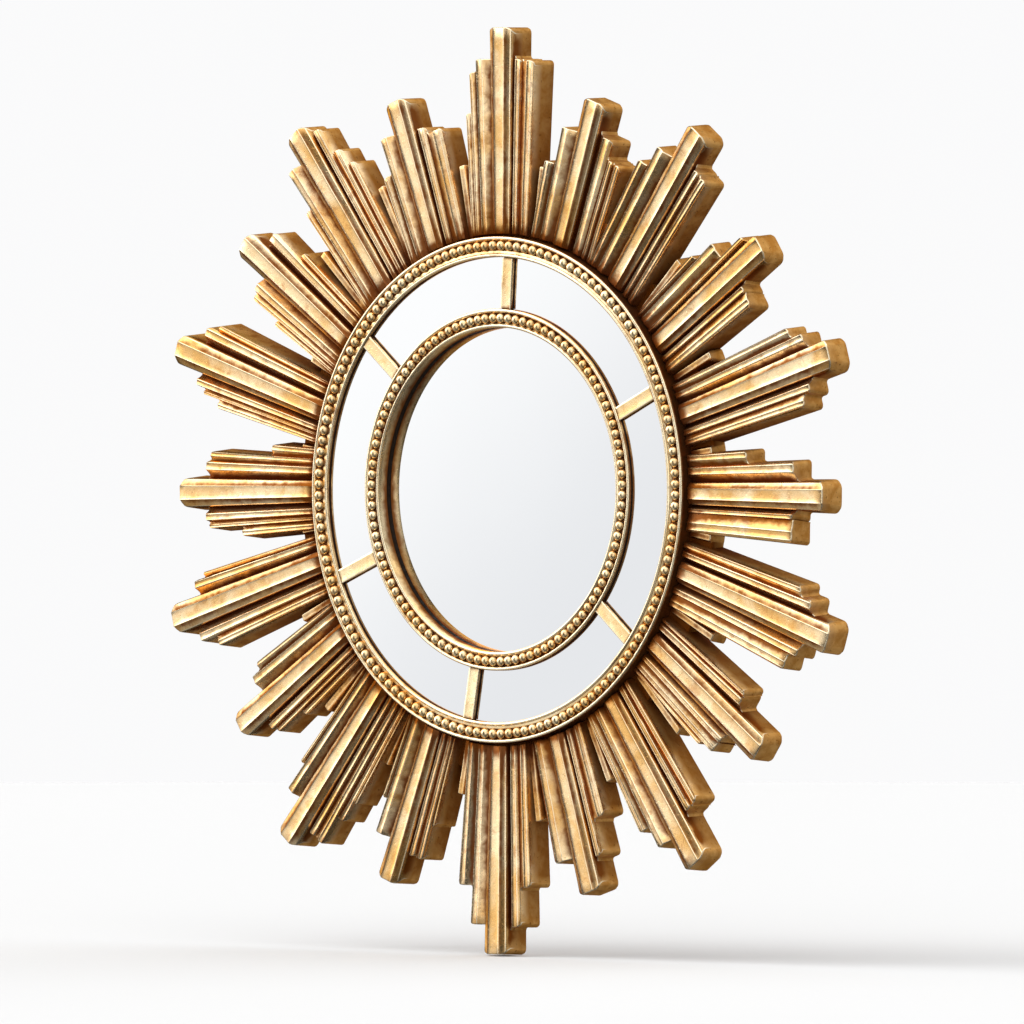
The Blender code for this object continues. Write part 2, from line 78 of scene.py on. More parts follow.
BAR_WIDTH, BAR_FLAT, BAR_EDGE_DROP, BAR_EDGE_DRAFT = 0.0285, 0.45, 0.0030, 0.0008
RIB_FACE_DROP, GROOVE_DROP, STEP_GROOVE_DROP, OUTER_EDGE_DROP = 0.0016, 0.0090, 0.0042, 0.0028
RIDGE_START, RIDGE_END = 0.50, 0.86
FILLER_WIDTH, FILLER_DEPTH = 0.0120, 0.0215
FAN_RADIUS, FAN_LENGTH, SIDE_SPLAY = 0.400, 0.7143, 0.0025

TABLE_UNIT = 0.001         # metres to one unit of the lengths in the table below

# Bearing in degrees, reach of the bar's tip, ribs left of the bar and ribs right of it, each side
# from the bar outwards as (width, reach), and the reach of the low rib in the gap to the next ray.
# A reach is measured outwards from the edge of the outer ring.
RAYS = (
    (359.7, 209, ((19, 177.5), (8, 164.5), (7, 123.5)), ((14, 177.5), (16.5, 176)), 73.5),
    (18, 155.5, ((22, 118), (15, 79)), ((22.5, 125), (10, 105), (11, 103.5)), 46.5),
    (36.8, 194, ((22, 150), (13.5, 124.5)), ((13, 161), (12, 159.5)), 75.5),
    (55.4, 177.5, ((8, 161), (20, 124), (7, 95)), ((13, 133), (15.5, 132)), 57),
    (73.05, 216, ((15, 185), (11, 168)), ((14, 180), (12, 168.5)), 31),
    (90.9, 187.5, ((20, 146), (14.5, 81.5)), ((10, 145), (23.5, 144.5)), 31),
    (108.65, 218.5, ((14, 184.5), (10, 167.5)), ((15, 182.5), (17, 169.5)), 66),
    (126.6, 185.5, ((16, 136), (6.5, 135)), ((13, 137), (13.5, 134.5), (5, 116)), 85.5),
    (144.7, 205.5, ((14, 155), (10, 154)), ((18, 164), (12.5, 137.5)), 70.5),
    (163.4, 167, ((13, 135.5), (17.5, 98)), ((24, 127),), 81.5),
    (181.2, 211.5, ((18, 184), (15.5, 144)), ((18.5, 182), (18.5, 143)), 57.5),
    (201.9, 167.5, ((13, 132.5), (11.5, 131.5), (5.5, 93.5)), ((20.5, 128), (5, 92)), 66.5),
    (220.2, 204, ((13, 178), (13, 177), (10, 141), (4, 116)), ((17, 163.5), (4.5, 131.5)), 76.5),
    (236.6, 176.5, ((14.5, 142), (7, 135), (9, 95.5)), ((19.5, 135), (8.5, 123)), 53.5),
    (253.85, 214.5, ((17, 184), (11, 162)), ((14.5, 177), (5, 162)), 28.5),
    (269.6, 186, ((15, 152), (7, 147), (11, 102)), ((18, 151), (9.5, 145), (12.5, 61)), 28.5),
    (287.7, 213, ((12.5, 177.5), (5.5, 165), (9, 143)), ((17.5, 180.5), (7, 164.5)), 43.5),
    (304.85, 178, ((17, 139), (8, 135), (7, 96)), ((19, 150), (9.5, 105)), 91.5),
    (321.5, 202, ((18, 175.5), (7, 129.5)), ((13, 187), (11, 153.5), (9.5, 131.5)), 94.5),
    (339.25, 161.5, ((19, 132.5), (11, 95)), ((16, 124.5), (22.5, 115.5)), 76.5),
)

# Fine form that only the looks have
LAP = 0.0004               # how far a rib reaches under its neighbour
SPLAY_EASE = 0.004         # distance from a ray's axis over which the splay sets in
EDGE_ROUND = 0.0011        # rounding of the edges between the front and the walls
CORNER_ROUND = 0.0050      # rounding of a rib's outer corner, seen from the front
INNER_FILLET = 0.0030      # hollow rounding where a rib's end meets a longer neighbour
BAR_CORNER, BAR_CORNER_GAIN = 0.0060, 0.0040
CREST_RISE = 0.00022       # narrow raised line along each ridge
CREST_HALF = 0.0007
CREST_FOOT = 0.0002        # drop beside that line
SADDLE = 0.0006            # hollow between the two lines of a ridge
RIDGE_SHARE = 0.05         # greatest share of a rib's width for half a line and for the hollow
FLUTE_PLACES = (0.0, 0.16, 0.34, 0.54, 0.76, 0.92)
SADDLE_PLACES = (0.12, 0.5, 0.88)
SAME_PLACE = 1e-6          # points of a profile closer than this across it lie over each other
WEB_EDGE = 0.001           # bevel at the rim of the web
FILLER_TIP = 0.002         # how far the tip of a low rib falls back at its sides
REAR_STEP = 0.00006        # step in depth between the levels of the ribs' flat backs
REAR_LEVELS = 7
LEAF_SETBACK = 0.00006     # keeps the uneven tips inside the plain form
CENTRE_SILVER = 0.0028     # silvering seen below the front of the middle glass
SEGMENT_SILVER = 0.0011    # the same for the segments
SILVER_LAP = 0.0001        # how far the middle silvering reaches under the inner ring
RING_GAP = 0.0006          # between a ring and what it is set into or what ends at it
GLASS_GAP = 0.0003         # between the glass and the metal over it
SEGMENT_GAP = 0.0005       # from a joint to the glass beside it
BOARD_EDGE, PLATE_EDGE = 0.0008, 0.0003
BEAD_SINK = 0.0006         # how far a bead reaches into the floor of its channel
BEAD_FILL = 0.985          # share of its place in the row that a bead fills

# Unevenness of the hand-finished surfaces
WAVE_HEIGHT = 0.00030
WAVE_SCALE = 45.0
WAVE_DETAIL = 3.1          # how much finer the second, weaker wave is
DETAIL_SEED = 7
SEED_STEP = 3.7            # gives each rib its own waves
FILLER_SEED = 50
SPOKE_WAVE, SPOKE_WAVE_SCALE = 0.00012, 60
BEAD_TURN_DRIFT, BEAD_SIDE_DRIFT, BEAD_SIZE_DRIFT = 0.04, 0.0002, 0.03

# Painted shade near the ring: its reach outwards along a ray and its strength, on all faces and on the
# side walls
RING_SHADE_REACH, RING_SHADE = 0.020, 0.60
WALL_SHADE_REACH, WALL_SHADE = 0.100, 0.90
# Beads: how fast the patina and painted shade at a bead's foot fade upwards, and the wear and painted
# highlight on its top
BEAD_PATINA_AND_SHADE_FADE, BEAD_WEAR_AND_HIGHLIGHT = 1.8, 0.6
# Painted shade on a spoke's ends, where they meet the rings
SPOKE_END_SHADE = 0.7

# Fineness of the meshes
BED_TURN_STEPS, RING_TURN_STEPS, GLASS_TURN_STEPS = 180, 280, 160
BEAD_TURN_STEPS, BEAD_ROWS = 16, 6
SPOKE_STEPS, SECTOR_STEPS, FLOOR_STEPS = 24, 48, 128
MERGE_DISTANCE, LEAST_EDGE = 2e-6, 1e-7
SMOOTH_ANGLE = 40
FULL_TURN = 2 * math.pi

# Camera: from the mirror's right at the photograph's angle, without perspective
CAMERA_AZIMUTH = 43.1
CAMERA_ELEVATION = 0.0
CAMERA_DISTANCE = 6.0
CAMERA_CLIP = (0.1, 100)
PHOTO_SPAN = 1.024         # metres across the picture at the mirror
AXIS_RIGHT = -0.0122       # the mirror's middle, right of and above the picture's middle
AXIS_UP = 0.0223
AIM_DEPTH = 0.030
FLOOR_RADIUS = 4.0
FLOOR_GAP = 0.001          # from the lowest tip down to the floor
FLOOR_TILT = 2.5           # degrees that the floor leans towards the camera
FLOOR_TONES = (0.688, 0.696)
BACKDROP = (0.96, 0.96, 0.965, 1)


def at(radius, bearing, depth):
    """World point at a radius and bearing about the mirror's axis."""
    return (radius * math.sin(bearing), -depth, radius * math.cos(bearing) - AXIS_DROP)


def link(name, data):
    """Adds an object with this data to the scene."""
    thing = bpy.data.objects.new(name, data)
    bpy.context.scene.collection.objects.link(thing)
    return thing


def make_piece(name, shell, material):
    """Adds a shell as a smooth mesh, with its relief as a colour attribute."""
    mesh = bpy.data.meshes.new(name)
    mesh.from_pydata(shell.points, [], shell.faces)
    layer = mesh.color_attributes.new("relief", "FLOAT_COLOR", "POINT")
    layer.data.foreach_set("color", np.asarray(shell.relief, np.float32).ravel())
    bm = bmesh.new()
    bm.from_mesh(mesh)
    bmesh.ops.remove_doubles(bm, verts=bm.verts, dist=MERGE_DISTANCE)
    bmesh.ops.dissolve_degenerate(bm, edges=bm.edges, dist=LEAST_EDGE)
    bmesh.ops.recalc_face_normals(bm, faces=bm.faces)
    bm.to_mesh(mesh)
    bm.free()
    mesh.shade_smooth()
    mesh.set_sharp_from_angle(angle=math.radians(SMOOTH_ANGLE))
    mesh.materials.append(material)
    return link(name, mesh)


class Shell:
    """Collects the points, faces and relief values of one piece.

    A relief value is (cavity, wall, crest, 1), each from 0 to 1. Cavity gives patina and painted shade,
    crest gives wear and painted highlights.
    """

    def __init__(self):
        self.points = []
        self.faces = []
        self.relief = []

    def grid(self, rows):
        """Adds a grid of (point, relief) rows and returns the indices of its points."""
        first = len(self.points)
        columns = len(rows[0])
        for row in rows:
            for point, value in row:
                self.points.append(point)
                self.relief.append(value)
        for j in range(len(rows) - 1):
            for i in range(columns - 1):
                a = first + j * columns + i
                self.faces.append((a, a + 1, a + 1 + columns, a + columns))
        return [[first + j * columns + i for i in range(columns)] for j in range(len(rows))]

    def close_edge(self, index):
        """Closes a grid whose rim lies in one plane."""
        rim = index[0] + [row[-1] for row in index[1:]]
        rim += index[-1][-2::-1] + [row[0] for row in index[-2:0:-1]]
        self.faces.append(tuple(rim))


def mirrored(profile):
    """The same profile on the other side of its axis."""
    return [(-across, depth, cavity, crest) for across, depth, cavity, crest in reversed(profile)]


def top_at(profile, place):
    """Greatest depth of a profile at one place across it."""
    return max(depth for across, depth, cavity, crest in profile if abs(across - place) < SAME_PLACE)


def rib_profile(inner, outer, inner_depth, outer_depth):
    """(across, depth, cavity, crest) points of a rib from its inner to its outer wall."""
    width = outer - inner
    face = RAY_FACE - RIB_FACE_DROP
    first = inner + RIDGE_START * width
    last = inner + RIDGE_END * width
    half = min(CREST_HALF, width * RIDGE_SHARE)
    # Cavity values give patina and painted shade, darkest in the flute by the inner wall; crest values
    # give wear and painted highlights on the ridge lines and the outer edge
    points = [(inner - LAP, 0.0, 1.0, 0.0), (inner - LAP, inner_depth - LAP, 1.0, 0.0)]
    for t in FLUTE_PLACES:
        rise = 0.35 * t + 0.65 * t * t
        across = inner + t * (first - half - inner)
        points.append((across, inner_depth + (face - inner_depth) * rise, (1 - t) ** 0.8, 0.0))
    points += [(first - half, face - CREST_FOOT, 0.12, 0.6), (first, face + CREST_RISE, 0.0, 1.0)]
    saddle = min(SADDLE, width * RIDGE_SHARE)
    for t in SADDLE_PLACES:
        across = first + t * (last - first)
        hollow = math.sin(math.pi * t)
        points.append((across, face - saddle * hollow, 0.35 * hollow, 0.15))
    points += [(last, face + CREST_RISE, 0.0, 1.0), (last + half, face - CREST_FOOT, 0.1, 0.6)]
    edge = outer - min(EDGE_ROUND, 0.3 * (outer - last))
    return points + [
        (edge, outer_depth + 0.0002, 0.25, 0.3),
        (outer - 0.0002, outer_depth - 0.0003, 0.3, 0.6),
        (outer, outer_depth - EDGE_ROUND, 0.2, 0.1),
        (outer, 0.55 * outer_depth, 0.2, 0.0),
        (outer, 0.0, 0.4, 0.0),
    ]


def bar_profile():
    """(across, depth, cavity, crest) points of the middle bar, from left to right."""
    half = BAR_WIDTH / 2
    crest = BAR_FLAT * half
    shoulder = half - BAR_EDGE_DRAFT
    low = RAY_FACE - BAR_EDGE_DROP
    # Cavity values give patina and painted shade beside the crest lines and down to the groove; crest
    # values give wear and painted highlights on the crest lines and shoulders
    right = [
        (crest * 0.45, RAY_FACE - 0.00025, 0.06, 0.3),
        (crest - CREST_HALF, RAY_FACE - 0.0001, 0.1, 0.5),
        (crest, RAY_FACE + CREST_RISE, 0.0, 1.0),
        (crest + CREST_HALF, RAY_FACE - 0.0005, 0.70, 0.1),
        (crest + 0.35 * (shoulder - crest), RAY_FACE - 0.45 * BAR_EDGE_DROP, 0.58, 0.0),
        (shoulder - 0.0012, low + 0.0004, 0.28, 0.3),
        (shoulder - 0.0003, low - 0.0002, 0.0, 0.9),
        (shoulder + 0.0002, low - 0.0012, 0.15, 0.3),
        (half - 0.0002, RAY_FACE - 0.62 * GROOVE_DROP, 0.6, 0.0),
        (half, RAY_FACE - GROOVE_DROP, 1.0, 0.0),
        (half, 0.5 * (RAY_FACE - GROOVE_DROP), 0.3, 0.0),
        (half, 0.0, 0.4, 0.0),
    ]
    return mirrored(right) + [(0.0, RAY_FACE - 0.0003, 0.05, 0.3)] + right


def filler_profile():
    """(across, depth, cavity, crest) points of the low rib between two rays."""
    half = FILLER_WIDTH / 2
    # Cavity values give patina and painted shade, as the low rib lies deep between the rays; crest values
    # give wear and a painted highlight on its top
    right = [
        (half * 0.30, FILLER_DEPTH + 0.0001, 0.45, 0.3),
        (half * 0.55, FILLER_DEPTH, 0.3, 0.7),
        (half * 0.75, FILLER_DEPTH - 0.0014, 0.75, 0.1),
        (half - 0.0004, FILLER_DEPTH - 0.0030, 0.75, 0.1),
        (half, FILLER_DEPTH - 0.0042, 0.75, 0.0),
        (half, 0.5 * FILLER_DEPTH, 0.8, 0.0),
        (half, 0.0, 0.8, 0.0),
    ]
    return mirrored(right) + [(0.0, FILLER_DEPTH - 0.0002, 0.5, 0.1)] + right


def fan(along):
    """Width of a ray at a distance along its axis, against its width at the fan's radius."""
    return 1 + (along - FAN_RADIUS) / FAN_LENGTH


def radius_of(reach):
    """Distance from the mirror's axis for a reach in the table of rays."""
    return OUTER_RING_RADIUS + reach * TABLE_UNIT - LEAF_SETBACK


def in_metres(ribs):
    return [(width * TABLE_UNIT, radius_of(reach)) for width, reach in ribs]


def start_along(across):
    """Distance along a ray's axis at which a rib starts, on a circle around the rings."""
    narrowed = across * fan(RAY_START)
    return math.sqrt(RAY_START ** 2 - narrowed ** 2)


def rib_end(inner, outer, end, step):
    """Function of the place across a rib that gives where the rib ends."""
    width = outer - inner
    corner = min(CORNER_ROUND, 0.6 * width)
    fillet = min(INNER_FILLET, 0.35 * width, 0.8 * step)

    def end_at(across):
        out = across - (outer - corner)
        near = inner + fillet - across
        if out > 0:
            return end - corner + math.sqrt(max(corner ** 2 - out ** 2, 0))
        if near > 0 and fillet > 0:
            return end + fillet - math.sqrt(max(fillet ** 2 - min(near, fillet) ** 2, 0))
        return end
    return end_at


def bar_end(tip, bearing):
    """The bar's rounded tip, rounder on the rays that lie level."""
    half = BAR_WIDTH / 2
    corner = BAR_CORNER + BAR_CORNER_GAIN * abs(math.sin(bearing))

    def end_at(across):
        out = abs(across) - (half - corner)
        if out > 0:
            return tip - corner + math.sqrt(max(corner ** 2 - out ** 2, 0))
        return tip
    return end_at


def filler_end(tip):
    """The low rib's tip, which falls back towards its sides."""
    def end_at(across):
        return tip - FILLER_TIP * (abs(across) / (FILLER_WIDTH / 2)) ** 4
    return end_at


# Rows of points along a rib. At its start each is (inset, share of the depth, wall), and at its
# end (inset, share of the depth, wall, crest). The start is painted in shade by the ring, and
# the crest at the end is wear and a painted highlight along the end's top edge.
BODY_ROWS = 20
START_ROWS = (
    (0.0, 0.0, 1.0),
    (0.0, 0.60, 1.0),
    (0.0, 0.93, 0.8),
    (0.0006, 0.985, 0.3),
    (0.0016, 1.0, 0.0),
)
END_ROWS = (
    (0.0011, 1.0, 0.0, 0.2),
    (0.0005, 0.990, 0.0, 1.0),
    (0.0001, 0.965, 0.2, 1.0),
    (0.0, 0.93, 0.8, 0.3),
    (0.0, 0.55, 1.0, 0.0),
    (0.0, 0.0, 1.0, 0.0),
)


def add_rib(shell, bearing, profile, end_at, seed):
    """Adds one closed rib: start wall, uneven front, rounded edges and end wall."""
    forward = (math.sin(bearing), math.cos(bearing))
    sideways = (math.cos(bearing), -math.sin(bearing))
    deepest = max(depth for across, depth, cavity, crest in profile)
    tops = [top_at(profile, across) for across, depth, cavity, crest in profile]
    sides = [1.0, 1.0] + [0.0] * (len(profile) - 4) + [1.0, 1.0]
    rear = REAR_STEP * (1 + round(seed * 10) % REAR_LEVELS)

    def point(i, along, share=1.0):
        across, depth = profile[i][0], max(profile[i][1] * share, rear)
        outward = max(-1.0, min(1.0, across / SPLAY_EASE))
        spread = across * fan(along) + SIDE_SPLAY * outward * (1 - depth / tops[i])
        x = forward[0] * along + sideways[0] * spread
        z = forward[1] * along + sideways[1] * spread
        lift = noise.noise(Vector((x * WAVE_SCALE, seed, z * WAVE_SCALE)))
        fine_x, fine_z = x * WAVE_DETAIL * WAVE_SCALE, z * WAVE_DETAIL * WAVE_SCALE
        lift += 0.5 * noise.noise(Vector((fine_x, seed + DETAIL_SEED, fine_z)))
        depth += WAVE_HEIGHT * lift * depth / deepest
        return (x, -depth, z - AXIS_DROP)

    rows = []
    for inset, share, wall in START_ROWS:
        row = []
        for i, (across, depth, cavity, crest) in enumerate(profile):
            # Painted shade: the start of each rib, by the ring, gets full cavity
            value = (1.0, max(wall * 0.5, sides[i]), 0.1 * crest, 1)
            row.append((point(i, start_along(across) + inset, share), value))
        rows.append(row)
    for step in range(1, BODY_ROWS):
        share = step / BODY_ROWS
        row = []
        for i, (across, depth, cavity, crest) in enumerate(profile):
            start = start_along(across) + START_ROWS[-1][0]
            along = start + (end_at(across) - END_ROWS[0][0] - start) * share
            # Painted shade: faces darken and lose their painted highlight towards the ring, and the side
            # walls darken further out, where the rays shade each other
            near_ring = math.exp(-(along - start) / RING_SHADE_REACH)
            between = sides[i] * math.exp(-(along - start) / WALL_SHADE_REACH)
            dark = min(1.0, cavity + RING_SHADE * near_ring + WALL_SHADE * between)
            row.append((point(i, along), (dark, sides[i], crest * (1 - 0.5 * near_ring), 1)))
        rows.append(row)
    for inset, share, wall, bright in END_ROWS:
        row = []
        for i, (across, depth, cavity, crest) in enumerate(profile):
            shine = max(bright, crest * (1 - wall)) * (1 - sides[i])
            value = (cavity * (1 - wall) * 0.6, max(wall, sides[i]), shine, 1)
            row.append((point(i, end_at(across) - inset, share), value))
        rows.append(row)
    shell.close_edge(shell.grid(rows))


def side_ribs(ribs):
    """(inner, outer, inner depth, outer depth, end, step to the longer neighbour) of one side."""
    edges = list(accumulate((BAR_WIDTH / 2, *(width for width, end in ribs))))
    drops = [GROOVE_DROP] + [STEP_GROOVE_DROP] * (len(ribs) - 1) + [OUTER_EDGE_DROP]
    for i, (width, end) in enumerate(ribs):
        longer = ribs[i - 1][1] if i else end + 1
        yield edges[i], edges[i + 1], RAY_FACE - drops[i], RAY_FACE - drops[i + 1], end, longer - end


def turned(shell, profile, steps):
    """Adds a closed ring turned from (radius, depth, relief) points."""
    first = len(shell.points)
    count = len(profile)
    for step in range(steps):
        bearing = FULL_TURN * step / steps
        for radius, depth, value in profile:
            shell.points.append(at(radius, bearing, depth))
            shell.relief.append(value)
    for step in range(steps):
        here = first + step * count
        there = first + (step + 1) % steps * count
        for i in range(count):
            after = (i + 1) % count
            shell.faces.append((here + i, here + after, there + after, there + i))


def sunburst_frame(material):
    """The whole casting of rays and its bed as one fine mesh."""
    shell = Shell()
    # Painted shade: the bed and the web between the rays get full cavity, their flat backs less
    plain, rear = (1.0, 1.0, 0.0, 1), (0.3, 1.0, 0.0, 1)
    base = [
        (BED_BORE, BED_BACK),
        (BOARD_REBATE, BED_BACK),
        (BOARD_REBATE, 0.0),
        (WEB_RADIUS, 0.0),
        (WEB_RADIUS, WEB_DEPTH - WEB_EDGE),
        (WEB_RADIUS - WEB_EDGE, WEB_DEPTH),
        (BED_RADIUS, WEB_DEPTH),
        (BED_RADIUS, BED_FACE),
        (BED_BORE, BED_FACE),
    ]
    section = [(radius, depth, rear if depth in (0.0, BED_BACK) else plain) for radius, depth in base]
    turned(shell, section, BED_TURN_STEPS)
    seed = 0.0
    for number, (degrees, tip, left, right, filler) in enumerate(RAYS):
        bearing = math.radians(degrees)
        add_rib(shell, bearing, bar_profile(), bar_end(radius_of(tip), bearing), seed)
        for mirror, ribs in ((True, left), (False, right)):
            for inner, outer, inner_depth, outer_depth, end, step in side_ribs(in_metres(ribs)):
                seed += SEED_STEP
                profile = rib_profile(inner, outer, inner_depth, outer_depth)
                end_at = rib_end(inner, outer, end, step)
                if mirror:
                    add_rib(shell, bearing, mirrored(profile), lambda a, f=end_at: f(-a), seed)
                else:
                    add_rib(shell, bearing, profile, end_at, seed)
        gap = (RAYS[(number + 1) % len(RAYS)][0] - degrees) % 360
        middle = math.radians(degrees + gap / 2)
        add_rib(shell, middle, filler_profile(), filler_end(radius_of(filler)), seed + FILLER_SEED)
    piece = make_piece("gilded_sunburst", shell, material)
    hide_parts("sunburst_frame")
    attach(piece, "root")


def add_round_bead(shell, radius, bearing, floor, size, rise):
    """Adds a round bead that stands on the channel floor."""
    centre = floor + rise - size
    low = math.asin(max(-1.0, (floor - BEAD_SINK - centre) / size))
    middle = (radius * math.sin(bearing), radius * math.cos(bearing))
    first = len(shell.points)
    for j in range(BEAD_ROWS):
        angle = low + (math.pi / 2 - low) * j / BEAD_ROWS
        for i in range(BEAD_TURN_STEPS):
            turn = FULL_TURN * i / BEAD_TURN_STEPS
            spread = size * math.cos(angle)
            x = middle[0] + spread * math.cos(turn)
            z = middle[1] + spread * math.sin(turn) - AXIS_DROP
            # Patina and painted shade at the bead's foot, with wear and a painted highlight growing
            # towards its top
            dark = max(0.0, 1 - BEAD_PATINA_AND_SHADE_FADE * j / BEAD_ROWS)
            shell.points.append((x, -(centre + size * math.sin(angle)), z))
            shell.relief.append((dark, 0.0, BEAD_WEAR_AND_HIGHLIGHT * j / BEAD_ROWS, 1))
    shell.points.append((middle[0], -(floor + rise), middle[1] - AXIS_DROP))
    shell.relief.append((0.0, 0.0, BEAD_WEAR_AND_HIGHLIGHT, 1))
    top = len(shell.points) - 1
    for j in range(BEAD_ROWS - 1):
        for i in range(BEAD_TURN_STEPS):
            after = (i + 1) % BEAD_TURN_STEPS
            a, b = first + j * BEAD_TURN_STEPS, first + (j + 1) * BEAD_TURN_STEPS
            shell.faces.append((a + i, a + after, b + after, b + i))
    last = first + (BEAD_ROWS - 1) * BEAD_TURN_STEPS
    for i in range(BEAD_TURN_STEPS):
        shell.faces.append((last + i, last + (i + 1) % BEAD_TURN_STEPS, top))
    shell.faces.append(tuple(first + i for i in reversed(range(BEAD_TURN_STEPS))))


def ring_profile(radius, bore, foot):
    """(radius, depth, relief) section of a beaded ring, with round lips and a fillet."""
    floor = LIP_TOP - CHANNEL_DEPTH
    outside = radius - OUTER_LIP
    inside = outside - BEAD_BAND
    lip = bore + INNER_LIP

    def value(cavity, crest, wall=0.0):
        return (cavity, wall, crest, 1)

    # Cavity values give patina and painted shade on the foot, in the channel and beside the lips; crest
    # values give wear and painted highlights on the lips
    return [(r, d, value(1.0, 0.0, 0.6)) for r, d in foot] + [
        (radius, LIP_TOP - 0.0040, value(1.0, 0.0)),
        (radius, LIP_TOP - 0.0014, value(0.6, 0.2)),
        (radius - 0.0005, LIP_TOP - 0.0005, value(0.0, 0.9)),
        (radius - 0.0013, LIP_TOP, value(0.0, 1.0)),
        (radius - 0.0025, LIP_TOP - 0.0001, value(0.0, 0.8)),
        (outside + 0.0010, LIP_TOP - 0.0008, value(0.3, 0.4)),
        (outside + 0.0003, floor + 0.0004, value(0.9, 0.0)),
        (outside - 0.0002, floor, value(1.0, 0.0)),
        (inside + 0.0004, floor, value(1.0, 0.0)),
        (inside - 0.0001, floor + 0.0007, value(0.6, 0.2)),
        (inside - 0.0006, floor + 0.0009, value(0.3, 0.3)),
        (lip + 0.0006, floor + 0.0009, value(0.3, 0.2)),
        (lip + 0.0001, floor + 0.0011, value(0.7, 0.1)),
        (lip - 0.0007, LIP_TOP - 0.0003, value(0.0, 0.9)),
        (lip - 0.0016, LIP_TOP, value(0.0, 1.0)),
        (bore + 0.0007, LIP_TOP - 0.0004, value(0.0, 0.8)),
        (bore, LIP_TOP - 0.0013, value(0.2, 0.3)),
    ]


def beaded_ring(name, node, radius, bore, foot, beads, material):
    """One ring with its two lips and its row of beads."""
    shell = Shell()
    turned(shell, ring_profile(radius, bore, foot), RING_TURN_STEPS)
    band = radius - OUTER_LIP - BEAD_BAND / 2
    floor = LIP_TOP - CHANNEL_DEPTH
    size = band * math.pi / beads * BEAD_FILL
    for number in range(beads):
        drift = noise.noise(Vector((number * 1.7, radius * 100, 0.3)))
        bearing = FULL_TURN * (number + 0.5 + BEAD_TURN_DRIFT * drift) / beads
        place = band + BEAD_SIDE_DRIFT * noise.noise(Vector((number * 2.3, radius * 50, 4.0)))
        bead_size = size * (1 - BEAD_SIZE_DRIFT * abs(drift))
        add_round_bead(shell, place, bearing, floor, bead_size, BEAD_RISE)
    piece = make_piece(name, shell, material)
    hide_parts(node)
    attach(piece, "root")


def outer_foot():
    """(radius, depth) points where the outer ring sits on the glass, the bed and the web."""
    seat = BED_RADIUS + RING_GAP
    return [
        (OUTER_RING_BORE, GLASS_FACE + GLASS_GAP),
        (seat, GLASS_FACE + GLASS_GAP),
        (seat, RING_FOOT),
        (OUTER_RING_RADIUS, RING_FOOT),
    ]


def inner_foot():
    """(radius, depth) points of the inner ring's sleeve and of its seat on the segments."""
    sleeve = BED_BORE - RING_GAP
    seat = INNER_RING_RADIUS - GLASS_OVERLAP - RING_GAP
    return [
        (INNER_RING_BORE, CENTRE_FACE + GLASS_GAP),
        (sleeve, CENTRE_FACE + GLASS_GAP),
        (sleeve, SEGMENT_BACK),
        (seat, SEGMENT_BACK),
        (seat, GLASS_FACE + GLASS_GAP),
        (INNER_RING_RADIUS, GLASS_FACE + GLASS_GAP),
    ]


def dish(name, node, outline, inset, back, face, silver_depth, glass, edge):
    """Back-silvered glass: a shallow dish whose black side is painted shade, the seen thickness of the
    glass in the dark gap under the metal.
    """
    bm = bmesh.new()
    loops = []
    for points, depth in ((outline, back), (outline, face), (inset, face), (inset, face - silver_depth)):
        loops.append([bm.verts.new((x, -depth, z - AXIS_DROP)) for x, z in points])
    bm.faces.new(loops[0])
    silver = bm.faces.new(loops[3])
    count = len(outline)
    for a, b in zip(loops, loops[1:]):
        for i in range(count):
            j = (i + 1) % count
            bm.faces.new((a[i], a[j], b[j], b[i]))
    for side in bm.faces:
        side.material_index = 1
    silver.material_index = 0
    bmesh.ops.recalc_face_normals(bm, faces=bm.faces)
    mesh = bpy.data.meshes.new(name)
    bm.to_mesh(mesh)
    bm.free()
    mesh.materials.append(glass)
    mesh.materials.append(edge)
    piece = link(name, mesh)
    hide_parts(node)
    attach(piece, "root")


def circle(radius, steps):
    """(x, z) outline of a circle about the mirror's axis."""
    turns = [FULL_TURN * i / steps for i in range(steps)]
    return [(radius * math.sin(turn), radius * math.cos(turn)) for turn in turns]


def sector(inner, outer, start, end, offset):
    """(x, z) outline between two radii whose ends run parallel to the spokes at an offset."""
    def arc(radius):
        first = start + math.asin(offset / radius)
        last = end - math.asin(offset / radius)
        turns = [first + (last - first) * i / (SECTOR_STEPS - 1) for i in range(SECTOR_STEPS)]
        return [(radius * math.sin(turn), radius * math.cos(turn)) for turn in turns]
    return arc(outer) + arc(inner)[::-1]


def mirrors(glass, edge):
    """The middle mirror and the segments around it."""
    outline = circle(INNER_RING_BORE + GLASS_OVERLAP, GLASS_TURN_STEPS)
    inset = circle(INNER_RING_BORE + SILVER_LAP, GLASS_TURN_STEPS)
    dish("centre_glass", "centre_mirror", outline, inset, CENTRE_BACK, CENTRE_FACE, CENTRE_SILVER,
         glass, edge)
    inner, outer = INNER_RING_RADIUS - GLASS_OVERLAP, OUTER_RING_BORE + GLASS_OVERLAP
    for number, degrees in enumerate(SPOKE_BEARINGS):
        start = math.radians(degrees)
        end = math.radians(SPOKE_BEARINGS[(number + 1) % len(SPOKE_BEARINGS)])
        end = start + (end - start) % FULL_TURN
        outline = sector(inner, outer, start, end, SEGMENT_GAP)
        inset = sector(INNER_RING_RADIUS, OUTER_RING_BORE, start, end, SPOKE_WIDTH / 2)
        dish(f"glass_{number + 1}", f"mirror_segment_{number + 1}", outline, inset, SEGMENT_BACK,
             GLASS_FACE, SEGMENT_SILVER, glass, edge)


